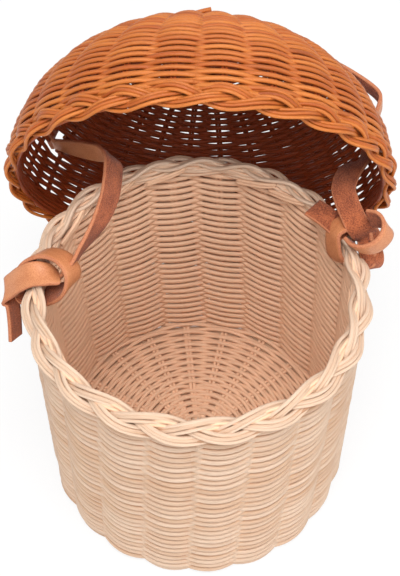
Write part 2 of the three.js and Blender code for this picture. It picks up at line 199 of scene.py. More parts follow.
def smooth_path(points: Sequence[Point], closed: bool, steps: int = 12) -> Array:
    """Draws a smooth curve through points.

    Args:
        points: Points or directions that the curve passes through.
        closed: Whether the curve returns to its first point.
        steps: Steps between one point and the next.

    Returns:
        Points along the curve.
    """
    knots = np.asarray(points, float)
    if closed:
        knots = np.concatenate([knots[-1:], knots, knots[:2]])
    else:
        knots = np.concatenate([2 * knots[:1] - knots[1:2], knots, 2 * knots[-1:] - knots[-2:-1]])
    t = np.linspace(0, 1, steps, endpoint=False)[:, None]
    spans = []
    for a, b, c, d in zip(knots, knots[1:], knots[2:], knots[3:]):
        square, cube = 2 * a - 5 * b + 4 * c - d, 3 * b - a - 3 * c + d
        spans.append(0.5 * (2 * b + (c - a) * t + square * t**2 + cube * t**3))
    if not closed:
        spans.append(knots[-2][None])
    return np.concatenate(spans)


class Wander:
    """A seeded hand that makes each strand a little uneven."""

    def __init__(self, seed: int) -> None:
        """Starts the hand with a number that fixes the result."""
        self.random = np.random.default_rng(seed)

    def wave(self, turn: Array, amount: float, waves: int = 9) -> Array:
        """Makes a slow uneven wave that closes on itself.

        Args:
            turn: Angle along the strand in radians.
            amount: Typical size of the wave.
            waves: Highest number of waves in a turn.

        Returns:
            The wave at each angle.
        """
        total = np.zeros_like(turn)
        for count in self.random.integers(1, waves + 1, 4):
            total += np.sin(count * turn + self.random.uniform(0, 2 * math.pi))
        return total * amount / 2.0

    def tone(self) -> float:
        """Picks how dark a strand is, from 0 to 1."""
        return float(self.random.uniform(0, 1))

    def spread(self, amount: float) -> float:
        """Picks a small departure from the plan, up to an amount either way."""
        return float(self.random.uniform(-amount, amount))


@dataclass
class Skin:
    """Gathers swept rods and bands into one mesh with strand coordinates."""

    points: list[Array] = field(default_factory=list)
    quads: list[Array] = field(default_factory=list)
    caps: list[list[int]] = field(default_factory=list)
    corners: list[Array] = field(default_factory=list)
    parts: list[Array] = field(default_factory=list)
    values: list[Array] = field(default_factory=list)
    count: int = 0

    def sweep(
        self,
        centres: Array,
        out: Array,
        section: Array,
        closed: bool = False,
        tone: float = 0.5,
        parts: Array | None = None,
        bow: Array | float = OUTSIDE,
    ) -> None:
        """Sweeps a section along a path.

        Args:
            centres: Points of the path.
            out: Direction of the section's first axis, at each point or for all.
            section: Corners of the section, counter-clockwise.
            closed: Whether the path returns to its start.
            tone: How dark the strand is, from 0 to 1.
            parts: Material number of each side of the section.
            bow: How far each point bows out of the weave, from -1 inside to 1 outside; with the side of the
                section it sets the painted shade of inward faces in the cane.
        """
        n, m = len(centres), len(section)
        ahead = heading(centres, closed)
        first = unit(out - (out * ahead).sum(-1, keepdims=True) * ahead)
        second = np.cross(ahead, first)
        ring = centres[:, None] + section[:, :1] * first[:, None] + section[:, 1:] * second[:, None]
        along = lengths(np.vstack([centres, centres[:1]]))
        girth = lengths(np.vstack([section, section[:1]]))
        rows = n if closed else n - 1
        i, j = np.meshgrid(np.arange(rows), np.arange(m), indexing="ij")
        sides = ((0, 0), (0, 1), (1, 1), (1, 0))
        quads = np.stack([(i + a) % n * m + (j + b) % m for a, b in sides], -1)
        corners = np.stack([np.stack([along[i + a], girth[j + b]], -1) for a, b in sides], -2)
        values = np.empty((n, m, 4))
        values[..., 0] = tone
        values[..., 1] = along[:-1, None]
        values[..., 2] = girth[:-1]
        # Outward value, from the bow and the side of the section: the cane material paints shade on faces
        # turned inward by it.
        values[..., 3] = 0.5 * np.broadcast_to(bow, n)[:, None] + section[:, 0] / section[:, 0].max()
        self.points.append(ring.reshape(-1, 3))
        self.quads.append(quads.reshape(-1, 4) + self.count)
        self.corners.append(corners)
        self.parts.append(np.tile(np.zeros(m, int) if parts is None else parts, rows))
        self.values.append(values.reshape(-1, 4))
        start, stop = self.count, self.count + n * m
        if not closed:
            self.caps.append(list(range(start + m - 1, start - 1, -1)))
            self.caps.append(list(range(stop - m, stop)))
        self.count = stop

    def unwrap(self) -> Array:
        """Lays each strand out as strips, one above the other, on a square map.

        Returns:
            Two map coordinates for each corner of each quad.
        """
        room, filled, margin = 1.02, 0.94, 0.001
        area = sum(float(c[-1, :, 2, 0].max() * c[..., 1].max()) for c in self.corners)
        strip = max(math.sqrt(area) * room, 1.0)
        laid, height = [], 0.0
        for corners in self.corners:
            girth = corners[..., 1].max()
            turn = np.floor(corners[:, :1, :1, 0] / strip + 1e-6)
            placed = corners.copy()
            placed[..., 0] = corners[..., 0] - turn * strip
            placed[..., 1] = height + corners[..., 1] * filled + turn * girth
            height += girth * (float(turn.max()) + 1)
            laid.append(placed.reshape(-1, 2))
        flat = np.concatenate(laid)
        size = np.array([max(float(flat[:, 0].max()), 1e-6), max(height, 1e-6)])
        return flat / size * (1 - 2 * margin) + margin

    def build(self, name: str, materials: Sequence[Material]) -> Piece:
        """Makes the object.

        Args:
            name: Name of the piece.
            materials: Materials in the order of the part numbers.

        Returns:
            The piece, in metres.
        """
        points = np.concatenate(self.points) * MM
        quads = np.concatenate(self.quads)
        sizes = np.concatenate([np.full(len(quads), 4), [len(c) for c in self.caps]]).astype(np.int32)
        loops = np.concatenate([quads.ravel(), *[np.array(c) for c in self.caps]]).astype(np.int32)
        starts = np.concatenate([[0], np.cumsum(sizes)[:-1]]).astype(np.int32)
        parts = np.concatenate([*self.parts, np.full(len(self.caps), min(1, len(materials) - 1))])
        smooth = np.concatenate([np.ones(len(quads), bool), np.zeros(len(self.caps), bool)])
        mesh = bpy.data.meshes.new(name)
        mesh.vertices.add(len(points))
        mesh.vertices.foreach_set("co", points.astype(np.float32).ravel())
        mesh.loops.add(len(loops))
        mesh.loops.foreach_set("vertex_index", loops)
        mesh.polygons.add(len(sizes))
        mesh.polygons.foreach_set("loop_start", starts)
        mesh.polygons.foreach_set("material_index", parts.astype(np.int32))
        mesh.polygons.foreach_set("use_smooth", smooth)
        mesh.update(calc_edges=True)
        values = np.concatenate(self.values).astype(np.float32)
        for k, label in enumerate(("tone", "along", "girth", "outward")):
            mesh.attributes.new(label, "FLOAT", "POINT").data.foreach_set("value", values[:, k].copy())
        chart = mesh.uv_layers.new(name="OFBake")
        spare = np.full((len(loops) - 4 * len(quads), 2), 0.0005)
        chart.data.foreach_set("uv", np.concatenate([self.unwrap(), spare]).astype(np.float32).ravel())
        for material in materials:
            mesh.materials.append(material)
        mesh.validate()
        made = bpy.data.objects.new(name, mesh)
        bpy.context.scene.collection.objects.link(made)
        return made


def round_section(radius: float, sides: int = 8, flat: float = 1.0) -> Array:
    """Makes the section of a rod, which is flatter along its first axis by a share."""
    turn = full_turn(sides)
    return np.stack([radius * flat * np.cos(turn), radius * np.sin(turn)], -1)


def band_section(width: float, thickness: float) -> tuple[Array, Array]:
    """Makes the section of a leather band, with its suede side on the first axis.

    Args:
        width: Width of the band.
        thickness: Thickness of the band.

    Returns:
        Corners of the section, and the face that each side belongs to.
    """
    half, deep = width / 2, thickness / 2
    inset, swell, edge_inset, edge_share = 0.55, 0.12, 0.08, 0.62
    lane = np.linspace(-half + inset, half - inset, 6)
    crown = swell * (1 - (lane / half) ** 2)
    suede = np.stack([np.full(6, deep), lane], -1)
    rim = np.array([[deep * edge_share, half - edge_inset], [-deep * edge_share, half - edge_inset]])
    smooth = np.stack([-deep - crown, lane], -1)[::-1]
    faces = [Face.SUEDE] * 5 + [Face.EDGE] * 3 + [Face.SMOOTH] * 5 + [Face.EDGE] * 3
    return np.concatenate([suede, rim, smooth, -rim]), np.array([face.value for face in faces])


class Nodes:
    """A short way to write the nodes of a material or of the world."""

    def __init__(self, owner: Material | bpy.types.World) -> None:
        """Starts without nodes.

        Args:
            owner: Material or world that the nodes belong to.
        """
        owner.use_nodes = True
        self.owner = owner
        self.tree = owner.node_tree
        self.tree.nodes.clear()

    def add(self, kind: str, inputs: dict | None = None, **settings: object) -> bpy.types.Node:
        """Adds a node.

        Args:
            kind: Node type.
            inputs: Values or sockets for its inputs.
            settings: Properties of the node.

        Returns:
            The node.
        """
        node = self.tree.nodes.new(kind)
        for key, value in settings.items():
            setattr(node, key, value)
        for key, value in (inputs or {}).items():
            if isinstance(value, bpy.types.NodeSocket):
                self.tree.links.new(value, node.inputs[key])
            else:
                node.inputs[key].default_value = value
        return node

    def value(self, name: str) -> Socket:
        """Reads one of the strand coordinates by its name."""
        return self.add("ShaderNodeAttribute", attribute_name=name).outputs["Fac"]

    def reckon(self, sign: str, first: Socket, second: Socket | float, clamp: bool = False) -> Socket:
        """Adds or multiplies two values, and keeps the result from 0 to 1 where it is clamped."""
        node = self.add("ShaderNodeMath", {0: first, 1: second}, operation=sign, use_clamp=clamp)
        return node.outputs[0]

    def strand(self, along: float, girth: float, tone: float) -> Socket:
        """Makes a coordinate that runs along the strand.

        Args:
            along: Cells per millimetre of length.
            girth: Cells per millimetre round the strand.
            tone: Cells between one strand and the next.

        Returns:
            The socket with the coordinate.
        """
        labels = {k: self.value(label) for k, label in enumerate(("along", "girth", "tone"))}
        place = self.add("ShaderNodeCombineXYZ", labels).outputs[0]
        scaled = self.add("ShaderNodeVectorMath", {0: place, 1: (along, girth, tone)}, operation="MULTIPLY")
        return scaled.outputs[0]

    def noise(self, vector: Socket, detail: float, rough: float = 0.55) -> Socket:
        """Adds a noise of one cell per unit, with layers of finer noise of a given strength."""
        inputs = {"Vector": vector, "Scale": 1.0, "Detail": detail, "Roughness": rough}
        return self.add("ShaderNodeTexNoise", inputs).outputs[0]

    def spread(self, value: Socket, low: float, high: float, start: float = 0, end: float = 1) -> Socket:
        """Stretches a value from low and high onto start and end."""
        return self.add("ShaderNodeMapRange", {0: value, 1: low, 2: high, 3: start, 4: end}).outputs[0]

    def mix(self, factor: Socket, first: Socket | Sequence[float], second: Sequence[float]) -> Socket:
        """Mixes two colours, by the share of the second."""
        return self.add("ShaderNodeMix", {0: factor, 6: first, 7: second}, data_type="RGBA").outputs[2]

    def background(self) -> Socket:
        """Picks out the rays that see the background: straight, mirrored and through glass.

        Returns:
            The socket, 1 for those rays and 0 for the others.
        """
        path = self.add("ShaderNodeLightPath").outputs
        seen = self.reckon("ADD", path["Is Camera Ray"], path["Is Glossy Ray"], True)
        return self.reckon("ADD", seen, path["Is Transmission Ray"], True)

    def close(self, colour: Socket, inputs: dict, bump: Socket, depth: float) -> Material:
        """Ends the material in a surface.

        Args:
            colour: Base colour.
            inputs: Other inputs of the surface.
            bump: Height of the fine relief.
            depth: Depth of the relief in metres.

        Returns:
            The material.
        """
        relief = self.add("ShaderNodeBump", {"Strength": 1.0, "Distance": depth, "Height": bump})
        dress = {"Base Color": colour, "Normal": relief.outputs[0], **inputs}
        surface = self.add("ShaderNodeBsdfPrincipled", dress)
        self.add("ShaderNodeOutputMaterial", {0: surface.outputs[0]})
        return self.owner


@dataclass(frozen=True)
class CaneFinish:
    """Split and round cane with streaks along each rod, and a painted colour on faces turned into the weave
    that stands in for their shade and bounced light.
    """

    name: str
    pale: Colour
    deep: Colour
    stain: Colour
    # Painted colour for faces turned into the weave, standing in for their shade and bounced light.
    inner: Colour
    roughness: float

    def material(self) -> Material:
        """Makes the material.

        Returns:
            The cane material.
        """
        nodes = Nodes(bpy.data.materials.new(self.name))
        streak = nodes.noise(nodes.strand(along=0.035, girth=0.9, tone=43.0), 4.0)
        patch = nodes.noise(nodes.strand(along=0.018, girth=0.05, tone=91.0), 2.0)
        fibre = nodes.noise(nodes.strand(along=0.12, girth=4.5, tone=17.0), 3.0, 0.65)
        tone = nodes.reckon("ADD", nodes.value("tone"), nodes.spread(streak, 0.3, 0.7, -0.4, 0.5))
        body = nodes.mix(nodes.spread(tone, 0.1, 1.2), linear(self.pale), linear(self.deep))
        worn = nodes.mix(nodes.spread(patch, 0.6, 0.76, 0.0, 0.75), body, linear(self.stain))
        # Painted shade: faces turned into the weave take the inner colour, by their outward value.
        shade = nodes.spread(nodes.value("outward"), 0.55, -0.35)
        colour_with_painted_shade = nodes.mix(shade, worn, linear(self.inner))
        rough = nodes.spread(fibre, 0.3, 0.7, self.roughness - 0.08, self.roughness + 0.12)
        return nodes.close(colour_with_painted_shade, {"Roughness": rough, "Specular IOR Level": 0.35}, fibre, 0.00022)


@dataclass(frozen=True)
class LeatherFinish:
    """One face of the leather strap."""

    name: str
    pale: Colour
    deep: Colour
    roughness: float
    grain: float
    depth: float
    sheen: float = 0.0

    def material(self) -> Material:
        """Makes the material.

        Returns:
            The leather material.
        """
        nodes = Nodes(bpy.data.materials.new(self.name))
        cloud = nodes.noise(nodes.strand(along=0.09, girth=0.16, tone=31.0), 4.0, 0.6)
        grain = nodes.noise(nodes.strand(along=self.grain, girth=self.grain, tone=7.0), 3.0, 0.7)
        share = nodes.reckon("ADD", nodes.spread(cloud, 0.3, 0.7, -0.09, 0.09), grain)
        colour = nodes.mix(nodes.spread(share, 0.36, 0.64), linear(self.pale), linear(self.deep))
        rough = nodes.spread(grain, 0.3, 0.7, self.roughness - 0.06, self.roughness + 0.06)
        inputs = {"Roughness": rough, "Specular IOR Level": 0.4}
        inputs |= {"Sheen Weight": self.sheen, "Sheen Roughness": 0.5}
        return nodes.close(colour, inputs, grain, self.depth)


NATURAL = CaneFinish(
    "natural_cane", (218, 190, 166), (204, 167, 137), (188, 143, 108), (234, 192, 159), roughness=0.5
)
# Darker copy of the natural cane: painted shade for the hoops deep behind the border plait, and the colour
# of the cut rod ends of the border.
NATURAL_CORE_SHADED = CaneFinish(
    "natural_core_shaded", (204, 160, 128), (182, 136, 104), (162, 114, 84), (194, 148, 116), roughness=0.6
)
STAINED = CaneFinish(
    "stained_cane", (196, 114, 49), (166, 80, 27), (130, 56, 20), (148, 64, 28), roughness=0.4
)
SUEDE = LeatherFinish(
    "strap_suede", (185, 102, 62), (114, 54, 33), roughness=0.9, grain=1.35, depth=0.0006, sheen=0.12
)
CUT_EDGE = LeatherFinish(
    "strap_edge", (198, 130, 92), (168, 98, 66), roughness=0.75, grain=1.6, depth=0.0002
)
SMOOTH = LeatherFinish(
    "strap_smooth", (206, 138, 94), (184, 112, 70), roughness=0.45, grain=1.6, depth=0.00012
)


@dataclass
class Kit:
    """The finishes as materials, made once."""

    natural: Material
    natural_core_shaded: Material
    stained: Material
    leather: list[Material]

    @classmethod
    def make(cls) -> "Kit":
        """Makes all materials."""
        canes = [finish.material() for finish in (NATURAL, NATURAL_CORE_SHADED, STAINED)]
        return cls(*canes, [finish.material() for finish in (SUEDE, CUT_EDGE, SMOOTH)])


def settle(
    skin: Skin,
    name: str,
    materials: Sequence[Material],
    nodes: Sequence[str],
    body: Body | None = None,
) -> Piece:
    """Makes a piece and puts it on its body and in place of its solids.

    Args:
        skin: Skin of the piece.
        name: Name of the piece.
        materials: Materials in the order of the part numbers.
        nodes: Solids that it stands for.
        body: Body that it rides on, or none for a piece that spans two bodies and is attached to neither.

    Returns:
        The piece.
    """
    piece = skin.build(name, materials)
    if body is not None:
        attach(piece, body.value)
    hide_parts(*nodes)
    return piece


@dataclass
class Plait:
    """A ring of three strands of three rods each, plaited round an edge."""

    radius: float
    height: float
    crossings: int
    lean: float
    swing: float
    rise: float
    rod: float
    spread: float
    seed: int
    place: Move = stay
    bow: float = OUTSIDE

    def lay(self, skin: Skin) -> None:
        """Adds the rods to a skin.

        Args:
            skin: Skin that gathers the rods.
        """
        hand = Wander(self.seed)
        steps = 3 * self.crossings * 12
        turn = np.arange(steps) * 6 * math.pi / steps
        phase = turn * self.crossings / 3
        lean = math.radians(self.lean)
        slope = self.swing * np.cos(phase) * self.crossings / 3 / self.radius
        grade = np.sqrt(1 + slope**2)
        face = np.array([math.cos(lean), math.sin(lean)])
        across = np.array([math.sin(lean), -math.cos(lean)])
        for lane in (-1, 0, 1):
            drift = hand.wave(turn / 3, 0.35, 40)
            shift = lane * self.spread / grade + self.swing * np.sin(phase) + drift
            dip = 0.35 * abs(lane) * self.rod
            lift = self.rise * np.sin(2 * phase) - dip + hand.wave(turn / 3, 0.18, 50)
            angle = turn - lane * self.spread * slope / grade / self.radius
            radius = self.radius + across[0] * shift + face[0] * lift
            height = self.height + across[1] * shift + face[1] * lift
            centres = self.place(around(radius, angle, height))
            out = self.place(around(radius + face[0], angle, height + face[1])) - centres
            rod = round_section(self.rod + hand.spread(0.08))
            skin.sweep(centres, out, rod, True, hand.tone(), bow=self.bow)


def lay_hoops(
    skin: Skin,
    hand: Wander,
    hoops: Sequence[Hoop],
    steps: int,
    place: Move = stay,
    aim: Move = stay,
    **look: object,
) -> None:
    """Lays the round hoops behind a plait.

    Args:
        skin: Skin that gathers the hoops.
        hand: Hand that varies them.
        hoops: Radius, height and half thickness of each hoop.
        steps: Steps of each hoop.
        place: Puts points into place.
        aim: Turns directions with them.
        look: Parts or bow of the hoops.
    """
    turn = full_turn(steps)
    out = aim(around(1.0, turn, 0.0))
    for radius, height, rod in hoops:
        centres = around(radius + hand.wave(turn, 0.15), turn, height + hand.wave(turn, 0.15))
        skin.sweep(place(centres), out, round_section(rod), True, hand.tone(), **look)


@dataclass
class Basket:
    """The natural basket: base, stakes, wall and border."""

    kit: Kit
    stakes: int = 20
    circle: float = 89.7
    wall_top: float = 170.0
    phase: float = 1.0
    twist: float = 4.8
    ring: float = 90.3
    swing: float = 2.6
    cane: float = 2.86
    rows: int = 58
    foot: float = 2.2
    foot_height: float = 5.0
    stake: float = 2.5
    stake_bend: float = 6.0
    floor: float = 4.3
    base_cane: float = 2.72
    base_step: float = 2.46
    base_start: float = 15.5
    base_margin: float = 2.6
    paired_within: float = 38.0
    curl_width: float = 12.0
    cross_reach: float = 14.6
    cross_gap: float = 2.85
    cross_rod: float = 1.32
    cross_levels: tuple[float, float] = (5.4, 2.7)
    openings: tuple[tuple[float, float], ...] = ((109.0, 5.4), (-91.4, 5.4))
    opening_floor: float = 165.2
    hoops: tuple[Hoop, ...] = (
        (88.4, 171.8, 1.6),
        (88.6, 174.8, 1.6),
        (90.6, 171.6, 1.5),
        (93.0, 171.9, 1.4),
        (89.8, 175.4, 1.4),
    )
    tuck_rod: float = 1.15
    tuck_angles: tuple[float, ...] = (238, 214, 193, 156, 141.5, 121, 84, 48, 13, -24, -61, -96)

    def lean(self, height: Array | float) -> Array:
        """Finds how far the flutes lean aside at a height, in degrees."""
        return self.twist * (1 - np.asarray(height) / self.wall_top)

    def flute(self, angle: Array, height: Array | float) -> Array:
        """Counts the flutes from the first valley of the wall to a point."""
        return (np.degrees(angle) - self.phase + self.lean(height)) * self.stakes / 360

    def stake_angle(self, index: int, height: Array | float) -> Array:
        """Finds the angle of a stake at a height, in radians."""
        return np.radians(self.phase - self.lean(height) + (index + 0.5) * 360 / self.stakes)

    def wall(self) -> Piece:
        """Weaves the wall.

        Returns:
            The wall.
        """
        skin, hand = Skin(), Wander(11)
        for row in range(self.rows):
            height = (row + 0.5) * self.wall_top / self.rows
            parity = 1 if row % 2 else -1
            pull = max(0.0, 1 - height / self.foot_height) ** 2 * self.foot
            rod = round_section((self.cane / 2 + hand.spread(CANE_VARIES)) * 1.3, flat=0.77)
            tone = hand.tone()
            openings = self.openings if height >= self.opening_floor else ()
            for angle, closed in stretches(self.stakes * 8, openings):
                level = height + hand.wave(angle, 0.16, 14)
                bow = self.swing * fuller(np.sin(math.pi * self.flute(angle, level)), 0.9)
                depth = self.ring - pull + parity * bow + hand.wave(angle, 0.14, 12)
                centres, out = around(depth, angle, level), around(1.0, angle, 0.0)
                # In-bowed stretches of each row take the painted inner shade through their bow.
                skin.sweep(centres, out, rod, closed, tone, bow=parity * bow / self.swing)
        return settle(skin, "wall_cane", [self.kit.natural], ["wall_weave"], Body.BASKET)

    def uprights(self) -> Piece:
        """Stands the stakes up, two rods each.

        Returns:
            The stakes.
        """
        skin, hand = Skin(), Wander(12)
        bend, inner, upper = self.stake_bend, self.circle - self.stake_bend, self.floor + self.stake_bend
        flat = np.linspace(13.0, inner, 16)
        turn = np.linspace(0, math.pi / 2, 7)[1:]
        rise = np.linspace(upper, self.wall_top + 3.0, 30)[1:]
        radius = np.concatenate([flat, inner + bend * np.sin(turn), np.full_like(rise, self.circle)])
        height = np.concatenate([np.full_like(flat, self.floor), upper - bend * np.cos(turn), rise])
        gap = np.minimum(self.stake / 2, 0.05 + radius * 0.032)
        rod = round_section(self.stake / 2)
        for index in range(self.stakes):
            for side in (-1, 1):
                angle = self.stake_angle(index, height) + side * gap / radius
                wobble = hand.wave(height / 40, 0.12, 5)
                centres = around(radius, angle + wobble / radius, height)
                out = np.stack([np.cos(angle), np.sin(angle), np.zeros_like(angle)], -1)
                # The stakes take the painted inner colour all round, standing in for the shade and bounced
                # light between the rows.
                skin.sweep(centres, out, rod, False, hand.tone(), bow=INSIDE)
        names = [f"stake_{k:02d}" for k in range(1, self.stakes + 1)]
        return settle(skin, "stake_cane", [self.kit.natural], names, Body.BASKET)

    def base(self) -> Piece:
        """Weaves the base, in rows over and under the stakes and in flat rows below them.

        Returns:
            The base.
        """
        skin, hand = Skin(), Wander(13)
        half = self.base_cane / 2
        rod = round_section(half)
        start = self.stake_angle(0, self.floor) - math.pi / self.stakes
        for row in range(int((self.circle - self.base_margin - self.base_start) / self.base_step) + 1):
            radius = self.base_start + row * self.base_step
            paired = radius < self.paired_within
            groups = self.stakes // 2 if paired else self.stakes
            angle = full_turn(groups * (9 if paired else 10))
            parity = 1 if row % 2 else -1
            wave = fuller(np.sin((angle - start) * groups / 2), 0.8)
            curl = 5.0 * max(0.0, (radius - self.circle + self.curl_width) / self.curl_width) ** 2
            level = self.floor + curl + parity * 1.5 * wave
            level = np.maximum(level + hand.wave(angle, 0.08), half + 0.1)
            woven = around(radius + hand.wave(angle, 0.12), angle, level)
            # Base rows take the painted inner colour all round, standing in for the shade and bounced light
            # in the bottom of the basket.
            skin.sweep(woven, UP, rod, True, hand.tone(), bow=INSIDE)
            flat = around(radius + self.base_step / 2 + hand.wave(angle, 0.1), angle, half + 0.05)
            skin.sweep(flat, UP, rod, True, hand.tone(), bow=INSIDE)
        return settle(skin, "base_cane", [self.kit.natural], ["base_weave"], Body.BASKET)

    def cross(self) -> Piece:
        """Crosses the rods in the middle of the base.

        Returns:
            The cross.
        """
        skin, hand = Skin(), Wander(14)
        run = np.linspace(-self.cross_reach, self.cross_reach, 25)
        ease = np.clip((np.abs(run) - 8.0) / 5.0, 0, 1)
        for lane in range(-2, 3):
            for turned in (False, True):
                level = self.cross_levels[turned] * (1 - ease) + self.floor * ease
                offset = lane * self.cross_gap * (1 - 0.1 * ease) + hand.wave(run / 9, 0.08)
                centres = np.stack([offset, run, level] if turned else [run, offset, level], -1)
                skin.sweep(centres, UP, round_section(self.cross_rod), False, hand.tone())
        return settle(skin, "base_cross_cane", [self.kit.natural], ["base_cross"], Body.BASKET)

    def border(self) -> Piece:
        """Plaits the border, over hoops and with a smaller plait inside it.

        Returns:
            The border.
        """
        skin, hand = Skin(), Wander(15)
        outer = {"radius": 91.2, "height": 176.6, "lean": 50.0, "swing": 4.9, "rise": 2.4}
        inner = {"radius": 87.6, "height": 175.0, "lean": 165.0, "swing": 2.3, "rise": 1.3}
        Plait(**outer, crossings=self.stakes, rod=1.1, spread=2.0, seed=21).lay(skin)
        # The inner plait takes mostly the painted inner shade.
        Plait(**inner, crossings=self.stakes, rod=1.04, spread=1.95, seed=23, bow=TURNED_IN).lay(skin)
        # The hoops take the darker core cane, painted shade for the recess behind the plait.
        lay_hoops(skin, hand, self.hoops, 240, parts=np.ones(8, int))
        self.tuck(skin, hand)
        canes = [self.kit.natural, self.kit.natural_core_shaded]
        return settle(skin, "border_cane", canes, ["rim_border"], Body.BASKET)

    def tuck(self, skin: Skin, hand: Wander) -> None:
        """Tucks the border's rod ends away inside the wall, in pairs.

        Args:
            skin: Skin that gathers the rods.
            hand: Hand that varies them.
        """
        share = np.linspace(0, 1, 14)
        dip = np.sin(math.pi * np.minimum(share * 0.7 + 0.3, 1.0))
        radius = 85.8 - 1.9 * dip + 2.5 * (1 - share) ** 4
        rod = round_section(self.tuck_rod)
        for middle in self.tuck_angles:
            for lane in (0, 1):
                angle = np.radians(middle - 8.2 + 16.4 * share + hand.spread(0.8))
                height = 177.2 - 7.0 * share - 2.2 * lane + hand.spread(0.25)
                centres, out = around(radius, angle, height), around(1.0, angle, 0.0)
                # The tucked ends take mostly the painted inner shade.
                skin.sweep(centres, out, rod, False, hand.tone(), bow=TURNED_IN)

    def build(self) -> list[Piece]:
        """Makes all the basket's cane."""
        return [self.base(), self.cross(), self.uprights(), self.wall(), self.border()]


@dataclass
class Lid:
    """The stained lid: dome, ribs, crown and border, tipped back behind the basket."""

    kit: Kit
    ribs: int = 26
    radius: float = 111.6
    foot: float = 12.3
    rise: float = 84.2
    roundness: float = 2.19
    shoulder: float = 1.8
    swing: float = 1.9
    droop: float = -0.27
    cane: float = 2.62
    pitch: float = 2.3
    rib: float = 1.9
    rib_end: float = 11.5
    crown: float = 42.0
    winding_end: float = 12.6
    cross_reach: float = 14.2
    cross_gap: float = 3.1
    cross_rod: float = 0.98
    seat: Point = (1.4, 66.02, 180.3)
    tilt: float = 73.8
    yaw: float = -2.25
    slots: tuple[float, float] = (-110.77, 96.92)
    slot_half: float = 4.6
    slot_heights: tuple[float, float] = (40.5, 50.0)
    leg_radius: float = 100.9
    loose_at: float = 86.0
    hoops: tuple[Hoop, ...] = ((106.0, 3.8, 1.3), (105.8, 6.3, 1.3), (105.9, 8.8, 1.3), (106.3, 11.4, 1.3))

    def place(self, points: Array) -> Array:
        """Tips points of the upright lid back into place."""
        return self.aim(points) + np.array(self.seat)

    def aim(self, ways: Array) -> Array:
        """Turns directions of the upright lid with it.

        Args:
            ways: Directions on the upright lid.

        Returns:
            The directions in the scene.
        """
        tilt, yaw = math.radians(self.tilt), math.radians(self.yaw)
        x, y, z = ways[..., 0], ways[..., 1], ways[..., 2]
        back = y * math.cos(tilt) + z * math.sin(tilt)
        high = z * math.cos(tilt) - y * math.sin(tilt)
        flat = [x * math.cos(yaw) - back * math.sin(yaw), x * math.sin(yaw) + back * math.cos(yaw)]
        return np.stack([*flat, high], -1)

    def crest(self, turn: Array) -> Track:
        """Draws the outside of the dome.

        Args:
            turn: Angle from the foot to the top in radians.

        Returns:
            Points and outward directions, as radius and height.
        """
        radius = self.radius * np.maximum(np.cos(turn), 1e-6) ** (2 / self.roundness)
        height = self.foot + self.rise * np.sin(turn) ** (2 / self.shoulder)
        points = np.stack([radius, height], -1)
        return points, outward(points)

    def profile(self) -> tuple[Array, Array, Array]:
        """Draws the middle of the dome's weave from its foot to its top.

        Returns:
            Length along the profile, points and outward directions, as radius and height.
        """
        crest, _ = self.crest(np.linspace(0, math.pi / 2, 1200))
        crest[-1, 0] = 0.0
        crest = np.concatenate([[[self.radius - 2.6, self.foot - 7.0]], crest])
        length = lengths(crest)
        length -= length[1]
        even = np.linspace(length[0], length[-1], 400)
        crest = np.stack([np.interp(even, length, crest[:, k]) for k in (0, 1)], -1)
        out = outward(crest)
        middle = crest - out * (self.swing + self.cane / 2)
        keep = middle[:, 0] > 0.2
        return even[keep], middle[keep], out[keep]

    def at(self, length: Array) -> Track:
        """Finds points on the dome's profile.

        Args:
            length: Length from the foot.

        Returns:
            Points and outward directions, as radius and height.
        """
        along, middle, out = self.profile()
        point = np.stack([np.interp(length, along, middle[:, k]) for k in (0, 1)], -1)
        face = np.stack([np.interp(length, along, out[:, k]) for k in (0, 1)], -1)
        return point, unit(face)

    def length_to(self, radius: float) -> float:
        """Finds how far along the profile the dome comes in to a radius."""
        along, middle, _ = self.profile()
        return float(np.interp(-radius, -middle[:, 0], along))

    def lay(
        self, skin: Skin, at: Track, angle: Array, lift: Array | float, section: Array, **look: object
    ) -> None:
        """Lays a rod on the upright dome and tips it back with the lid.

        Args:
            skin: Skin that gathers the rods.
            at: Points and outward directions, as radius and height.
            angle: Angle of each point in radians.
            lift: How far each point stands out of the middle of the weave.
            section: Corners of the rod's section.
            look: Whether the rod is closed, its tone and its bow.
        """
        point, face = at
        centres = around(point[:, 0] + face[:, 0] * lift, angle, point[:, 1] + face[:, 1] * lift)
        out = around(face[:, 0], angle, face[:, 1])
        skin.sweep(self.place(centres), self.aim(out), section, **look)

    def dome(self) -> Piece:
        """Weaves the dome, in rows below and in one winding strand on top.

        Returns:
            The dome.
        """
        skin, hand = Skin(), Wander(31)
        rows = int(self.length_to(self.crown) / self.pitch)
        low, high = self.slot_heights
        for row in range(-2, rows):
            parity = 1 if row % 2 else -1
            spot = (row + 0.5) * self.pitch
            level = float(self.at(np.array([spot]))[0][0, 1])
            rod = round_section((self.cane / 2 + hand.spread(CANE_VARIES)) * 1.1, flat=0.85)
            tone = hand.tone()
            openings = [(slot, self.slot_half) for slot in self.slots] if low < level < high else ()
            for angle, closed in stretches(self.ribs * 8, openings):
                bend = np.sin(angle * self.ribs / 2)
                at = self.at(spot + hand.wave(angle, 0.28, 16) + self.droop * parity * bend)
                bow = parity * self.swing * fuller(bend, 0.85) + hand.wave(angle, 0.12, 16)
                # Rows bowed in behind the ribs take the painted inner shade through their bow.
                self.lay(skin, at, angle, bow, rod, closed=closed, tone=tone, bow=bow / self.swing)
        begin, end = (rows + 0.5) * self.pitch, self.length_to(self.winding_end)
        turns = (end - begin) / self.pitch
        angle = np.linspace(0, turns * 2 * math.pi, int(turns * 130))
        at = self.at(begin + (end - begin) * angle / angle[-1])
        depth = np.interp(at[0][:, 0], [12, 42], [1.4, self.swing])
        bow = depth * fuller(np.sin(angle * (self.ribs // 2) / 2), 0.85)
